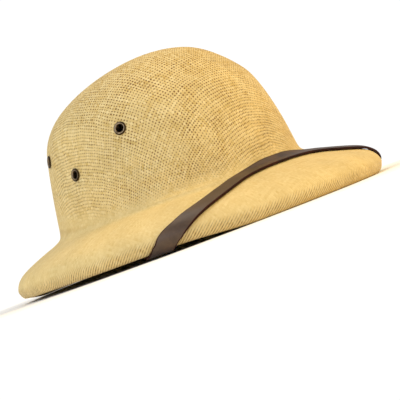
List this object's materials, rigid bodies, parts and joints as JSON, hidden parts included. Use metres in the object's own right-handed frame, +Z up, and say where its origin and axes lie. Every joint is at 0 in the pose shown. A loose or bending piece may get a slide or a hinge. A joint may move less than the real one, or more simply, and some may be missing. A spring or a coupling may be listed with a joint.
{
  "type": "pith helmet",
  "caption": "Sun helmet of pressed woven straw with a domed crown, sloping rolled brim, brass vent eyelets and a leather strap laid across the front",
  "frame": {"origin": "centre of the bounding box's bottom face, on the surface the rim rests on", "axes": "+Z up through the crown, front of the helmet towards -Y, wearer's right towards -X"},
  "size_m": [0.308, 0.332, 0.1585],
  "materials": {
    "straw": "plain-woven paper straw, stiffened, semi-matt",
    "straw_hem": "plain-woven paper straw, turned under, matt",
    "strap_leather": "smooth brown leather, dark cut edges, soft sheen",
    "eyelet_brass": "antiqued dark brass",
    "stud_brass": "antiqued dark brass"
  },
  "bodies": {
    "root": {"helmet_shell": "straw", "brim_hem": "straw_hem", "chin_strap": "strap_leather", "eyelet_right_front": "eyelet_brass", "eyelet_right_low": "eyelet_brass", "eyelet_right_back": "eyelet_brass", "eyelet_left_front": "eyelet_brass", "eyelet_left_low": "eyelet_brass", "eyelet_left_back": "eyelet_brass", "strap_rivet_right": "stud_brass", "strap_rivet_left": "stud_brass"}
  },
  "joints": []
}
